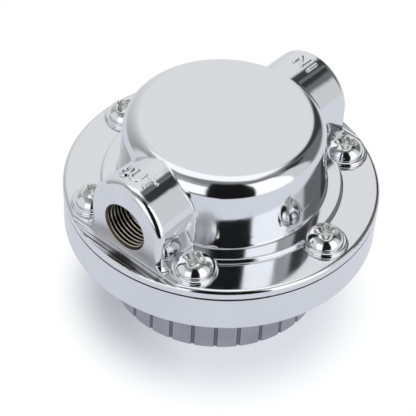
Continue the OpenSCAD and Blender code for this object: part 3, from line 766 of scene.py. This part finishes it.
BOSS_R = 11.5
BOSS_SWELL = 1.02
ARCH_Z = 40.97
LETTER_PITCH = 3.45
LETTER_SCALE = 1.22
LETTER_FROM_FACE = 5.3
LETTER_SHIFT = -1.0
LETTER_WIDTH, LETTER_RELIEF = 0.88, 0.64
# Just under the cap's flat top
LETTER_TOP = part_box("upper_housing")[1].z / MM - 0.01

# The cap's chrome, with edges that stay crisp on the narrow strokes
word_chrome = chrome_plate("bright_chrome_on_words", "#E8EAEE", 0.1, 11, 0.012, 0.22)


def on_boss(side, across):
    """Where a letter stands on a boss: it runs round the arch, with its top towards the cap, and its relief
    is lower over the crest, so that it stands no higher than the cap."""
    def place(u, v, h):
        angle = (across + u * LETTER_SCALE) / BOSS_R
        room = (LETTER_TOP - ARCH_Z) / (BOSS_SWELL * math.cos(angle)) - BOSS_R
        out = BOSS_R + h * (min(1.0, room / LETTER_RELIEF) if h > 0 else 1.0)
        return (side * (PORT_FACE - LETTER_FROM_FACE - v * LETTER_SCALE), side * out * math.sin(angle),
                ARCH_Z + out * BOSS_SWELL * math.cos(angle))
    return place


for word, side in (("OUT", -1), ("IN", 1)):
    for i, letter in enumerate(word):
        across = LETTER_PITCH * (i - (len(word) - 1) / 2) + LETTER_SHIFT
        sign = raised_strokes(f"cast_{word.lower()}_{i + 1}", GLYPHS[letter], LETTER_WIDTH, LETTER_RELIEF,
                              on_boss(side, across), word_chrome)
        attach(sign, "housing")


# Flange screws
# Six cold-headed pan-head screws, bright zinc-plated, driven down onto the pads. The punch leaves a wide
# star-shaped recess, whose walls stay pale and dull, and a bright lip round it.

SCREW_CIRCLE = 33.4
FIRST_SCREW = 30
HEAD_R, HEAD_H, HEAD_RIM = 4.55, 3.3, 0.3
SHANK_R = 2.4
PAD_Z = 33.9
# The star's reach at its arms and between them, its depth, its walls' slope and how hollow its sides are
STAR_TIP, STAR_WAIST, STAR_DEPTH, STAR_SLOPE, STAR_HOLLOW = 2.95, 1.95, 1.6, 1.25, 1.5
# Turn of each screw's star in degrees, clockwise from the camera's level, beginning with the first screw
CAMERA_AZIMUTH = -50.5
STAR_TURNS = (12, 40, 65, 16, 0, 6)

punched_zinc = unpolished_metal("punched_zinc_recess", "#E9EDEA", 0.3, 0.4)


def star_edge(angle):
    """The recess's outline: four wide arms with hollow sides."""
    return STAR_WAIST + (STAR_TIP - STAR_WAIST) * abs(math.cos(2 * angle)) ** STAR_HOLLOW


def crown(radius):
    """Height of the head's rounded crown above the pad."""
    return HEAD_RIM + (HEAD_H - HEAD_RIM) * math.sqrt(max(0.0, 1 - (radius / HEAD_R) ** 2))


def pan_head_screws(name, sides=96, inside=7, outside=14):
    """All six screws as one mesh, in rings from the recess's middle over the crown and down the shank."""
    points, faces, recess = [], [], []
    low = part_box("flange_screws")[0].z / MM
    for i, turn in enumerate(STAR_TURNS):
        place = math.radians(FIRST_SCREW + 360 * i / len(STAR_TURNS))
        centre_x, centre_y = SCREW_CIRCLE * math.cos(place), SCREW_CIRCLE * math.sin(place)
        arm = math.radians(CAMERA_AZIMUTH - turn)
        first = len(points)
        points.append((centre_x, centre_y, PAD_Z + crown(0) - STAR_DEPTH))
        rings = [("in", k / inside) for k in range(1, inside + 1)]
        rings += [("out", math.sin(math.pi / 2 * k / outside)) for k in range(1, outside + 1)]
        rings += [("at", (HEAD_R, 0.0)), ("at", (SHANK_R, 0.0)), ("at", (SHANK_R, low - PAD_Z))]
        for kind, where in rings:
            for j in range(sides):
                angle = 2 * math.pi * j / sides
                edge = star_edge(angle)
                if kind == "in":
                    radius = where * edge
                    z = crown(radius) - min(STAR_DEPTH, STAR_SLOPE * (edge - radius))
                elif kind == "out":
                    radius = edge + where * (HEAD_R - edge)
                    z = crown(radius)
                else:
                    radius, z = where
                points.append((centre_x + radius * math.cos(arm + angle),
                               centre_y + radius * math.sin(arm + angle), PAD_Z + z))
        for j in range(sides):
            faces.append((first, first + 1 + j, first + 1 + (j + 1) % sides))
            recess.append(1)
        for k in range(len(rings) - 1):
            a, b = first + 1 + k * sides, first + 1 + (k + 1) * sides
            faces += [(a + j, b + j, b + (j + 1) % sides, a + (j + 1) % sides) for j in range(sides)]
            recess += [1 if k < inside - 1 else 0] * sides
        last = first + 1 + (len(rings) - 1) * sides
        faces.append(tuple(last + j for j in reversed(range(sides))))
        recess.append(0)
    made = add_mesh(name, points, faces, bright_zinc)
    made.data.materials.append(punched_zinc)
    for face, index in zip(made.data.polygons, recess):
        face.material_index = index
    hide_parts("flange_screws")
    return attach(made, "housing")


pan_head_screws("pan_head_screws")


# Studio
# A white table under a white tent: bright side flaps, an overhead panel towards the back, a grey back
# wall and a dark gap round the camera, which gives the chrome its blacks. The table fades to white.

CAMERA_HEIGHT = 43.764
CAMERA_ROLL = 3.213
CAMERA_DISTANCE = 420.0
CAMERA_AIM = (-1.925, 2.335, 21.839)
LENS = 141.38
SENSOR = 36.0
NEAR_CLIP = 10.0

azimuth, height, roll = (math.radians(a) for a in (CAMERA_AZIMUTH, CAMERA_HEIGHT, CAMERA_ROLL))
back = Vector((math.sin(azimuth) * math.cos(height), -math.cos(azimuth) * math.cos(height), math.sin(height)))
level = Vector((math.cos(azimuth), math.sin(azimuth), 0))
raised = back.cross(level)
right = math.cos(roll) * level + math.sin(roll) * raised
up = math.cos(roll) * raised - math.sin(roll) * level
camera = bpy.data.objects.new("camera", bpy.data.cameras.new("camera"))
camera.data.lens, camera.data.sensor_width, camera.data.clip_start = LENS, SENSOR, NEAR_CLIP * MM
camera.matrix_world = Matrix((right, up, back)).transposed().to_4x4()
camera.location = Vector(CAMERA_AIM) * MM + back * CAMERA_DISTANCE * MM
bpy.context.scene.collection.objects.link(camera)
bpy.context.scene.camera = camera

# Cards of the tent as the object sees them, from the back of the tent forwards: azimuths from the camera,
# positive to the right, and the softness of those edges, then heights above the table and their softness,
# all in degrees, and the card's brightness
CARDS = [
    ("right back wall", (101, 162), 6, (4, 62), 10, 0.17),
    ("right back strip", (138, 158), 5, (9, 58), 7, 0.05),
    ("right back slot", (101, 128), 4, (44, 58), 4, 0.04),
    ("far slot", (140, 154), 4, (47, 57), 4, 0.05),
    ("front roof", (-98, 96), 18, (57, 120), 10, 0.24),
    ("left side", (-100, -40), 16, (36, 60), 8, 0.36),
    ("left side low", (-104, -44), 10, (-10, 42), 8, 0.74),
    ("right flap end", (70, 100), 6, (-14, 50), 8, 0.7),
    ("left flap top", (-62, -14), 8, (34, 51), 6, 0.42),
    ("left flap", (-49, -15), 3, (-16, 38), 5, 1.2),
    ("right flap", (34, 75), 4, (-22, 57), 6, 1.25),
    ("camera gap", (-15, 34), 4, (-40, 68), 12, 0.009),
]
# The tent's wall behind the cards: the azimuth from the camera, to either side, and the brightness there
WALL_SIDE, WALL_BACK = (98, 0.28), (172, 0.84)
# The overhead panel's edges and their softness, towards the camera and to its right, if it hung at a height
# of 1, then how far above the table it shows, as the sine of that angle
PANEL_BACK, PANEL_FRONT = (-0.68, 0.16), (0.05, 0.24)
PANEL_LEFT, PANEL_RIGHT = (-0.46, 0.1), (0.33, 0.16)
PANEL_LOW = (0.4, 0.1)
PANEL_BRIGHTNESS = 1.15

world = bpy.data.worlds.new("tent")
bpy.context.scene.world = world
world.use_nodes = True
tent = world.node_tree
tent.nodes.clear()
direction = add(tent, "TexCoord").outputs["Generated"]
turned = add(tent, "VectorRotate", {"rotation_type": "Z_AXIS"}, {"Angle": math.pi / 2 - azimuth},
             {"Vector": direction})
parts = add(tent, "SeparateXYZ", links={0: turned.outputs[0]}).outputs
around = add(tent, "Math", {"operation": "ARCTAN2"}, links={0: parts["Y"], 1: parts["X"]}).outputs[0]
above = add(tent, "Math", {"operation": "ARCSINE"}, links={0: parts["Z"]}).outputs[0]
aside = add(tent, "Math", {"operation": "ABSOLUTE"}, links={0: around}).outputs[0]
shade = add(tent, "MapRange",
            values={"From Min": math.radians(WALL_SIDE[0]), "From Max": math.radians(WALL_BACK[0]),
                    "To Min": WALL_SIDE[1], "To Max": WALL_BACK[1]},
            links={"Value": aside}).outputs["Result"]


def lay_card(shade, starts, ends, brightness):
    """One card over what is behind it, between the edges where it starts and where it ends, each given as
    a value, the place of the edge and its softness."""
    edges = [(value, at - soft / 2, at + soft / 2) for value, at, soft in starts]
    edges += [(value, at + soft / 2, at - soft / 2) for value, at, soft in ends]
    return add(tent, "Mix", {"data_type": "FLOAT"}, {"B": brightness},
               {"Factor": within(tent, edges), "A": shade}).outputs["Result"]


forward = add(tent, "Math", {"operation": "DIVIDE"}, links={0: parts["X"], 1: parts["Z"]}).outputs[0]
sideways = add(tent, "Math", {"operation": "DIVIDE"}, links={0: parts["Y"], 1: parts["Z"]}).outputs[0]
for label, around_range, around_soft, above_range, above_soft, brightness in CARDS:
    (az_low, az_high), (el_low, el_high), az_soft, el_soft = (
        np.radians(angles).tolist() for angles in (around_range, above_range, around_soft, above_soft))
    shade = lay_card(shade, [(around, az_low, az_soft), (above, el_low, el_soft)],
                     [(around, az_high, az_soft), (above, el_high, el_soft)], brightness)
    # The overhead panel hangs under the front of the roof and behind the flaps
    if label == "front roof":
        shade = lay_card(shade, [(forward, *PANEL_BACK), (sideways, *PANEL_LEFT), (parts["Z"], *PANEL_LOW)],
                         [(forward, *PANEL_FRONT), (sideways, *PANEL_RIGHT)], PANEL_BRIGHTNESS)

rays = add(tent, "LightPath").outputs
tint = add(tent, "CombineColor", links={"Red": shade, "Green": shade, "Blue": shade})
shown = add(tent, "MixRGB", values={"Color2": linear("#FFFFFF")},
            links={"Fac": rays["Is Camera Ray"], "Color1": tint.outputs["Color"]})
light = add(tent, "Background", links={"Color": shown.outputs["Color"]})
add(tent, "OutputWorld", links={"Surface": light.outputs[0]})

TABLE_FRONT = 115.0
TABLE_SIZE = 700.0
SHADOW_FORWARD = 7.0
# Distances from the painted shadow's middle between which the table turns from blue-grey to white
WHITE_FROM, WHITE_TO = 25.0, 43.0
# How white the painted shadow is and how bright the chrome mirrors the table, with painted shade at the
# left, each at a place on the left and one on the right, measured from the axis along the camera's level
SHADOW_WHITE = ((-38.5, 0.05), (-5.0, 0.68))
MIRROR_LIGHT = ((-30.0, 0.66), (0.0, 0.75))

# White laminate: a painted blue-grey shadow round the object, deepest at the left, and pure white away
flat_back = Vector((back.x, back.y, 0)).normalized()
table_finish, tree, out = new_finish("white_laminate")
place = add(tree, "TexCoord").outputs["Object"]
grain = add(tree, "TexNoise", values={"Scale": 1 / (1.2 * MM), "Detail": 2.0}, links={"Vector": place})
gloss = add(tree, "MapRange", values={"To Min": 0.55, "To Max": 0.7}, links={"Value": grain.outputs["Fac"]})
sheet = add(tree, "BsdfPrincipled", values={"Base Color": linear("#E9EDF8")},
            links={"Roughness": gloss.outputs["Result"]})
from_shadow = add(tree, "VectorMath", {"operation": "SUBTRACT"}, {1: flat_back * SHADOW_FORWARD * MM},
                  {0: place})
distance = add(tree, "VectorMath", {"operation": "LENGTH"}, links={0: from_shadow.outputs[0]})
fade = add(tree, "MapRange", {"interpolation_type": "SMOOTHSTEP"},
           {"From Min": WHITE_FROM * MM, "From Max": WHITE_TO * MM},
           {"Value": distance.outputs["Value"]}).outputs["Result"]
to_right = add(tree, "VectorMath", {"operation": "DOT_PRODUCT"}, {1: level}, {0: place})
in_shadow, in_mirror = (
    add(tree, "MapRange", values={"From Min": left_at * MM, "From Max": right_at * MM,
                                  "To Min": left_share, "To Max": right_share},
        links={"Value": to_right.outputs["Value"]}).outputs["Result"]
    for (left_at, left_share), (right_at, right_share) in (SHADOW_WHITE, MIRROR_LIGHT))
# Painted shadow: less white glow near the object, least at the left
white = add(tree, "Mix", {"data_type": "FLOAT"}, {"B": 1.0}, {"Factor": fade, "A": in_shadow})
rays = add(tree, "LightPath").outputs
mirrored = add(tree, "Math", {"operation": "ADD", "use_clamp": True},
               links={0: rays["Is Glossy Ray"], 1: rays["Is Transmission Ray"]})
# Painted shadow tint: bluer near the object
pale = add(tree, "MixRGB", values={"Color1": linear("#F5F8FF"), "Color2": linear("#FFFFFF")},
           links={"Fac": fade})
# What the chrome mirrors of the table is a glow with painted shade, darker at the left
glow_tint = add(tree, "MixRGB", values={"Color1": linear("#EEF0F6")},
                links={"Fac": rays["Is Camera Ray"], "Color2": pale.outputs["Color"]})
glow = add(tree, "Emission", links={"Color": glow_tint.outputs["Color"]})
to_eye = add(tree, "Math", {"operation": "MULTIPLY"},
             links={0: rays["Is Camera Ray"], 1: white.outputs["Result"]})
to_mirror = add(tree, "Math", {"operation": "MULTIPLY"}, links={0: mirrored.outputs[0], 1: in_mirror})
share = add(tree, "Math", {"operation": "ADD"}, links={0: to_eye.outputs[0], 1: to_mirror.outputs[0]})
mixed = add(tree, "MixShader", links={0: share.outputs[0], 1: sheet.outputs[0], 2: glow.outputs[0]})
tree.links.new(mixed.outputs[0], out.inputs["Surface"])

corners = [level * s * TABLE_SIZE + flat_back * d for s, d in
           ((-1, TABLE_FRONT), (1, TABLE_FRONT), (1, -TABLE_SIZE), (-1, -TABLE_SIZE))]
table = add_mesh("table", [tuple(c) for c in corners], [(0, 1, 2, 3)], table_finish, smooth=False)
table.location.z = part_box("dial_knob")[0].z

bpy.context.scene.view_settings.view_transform = "Standard"
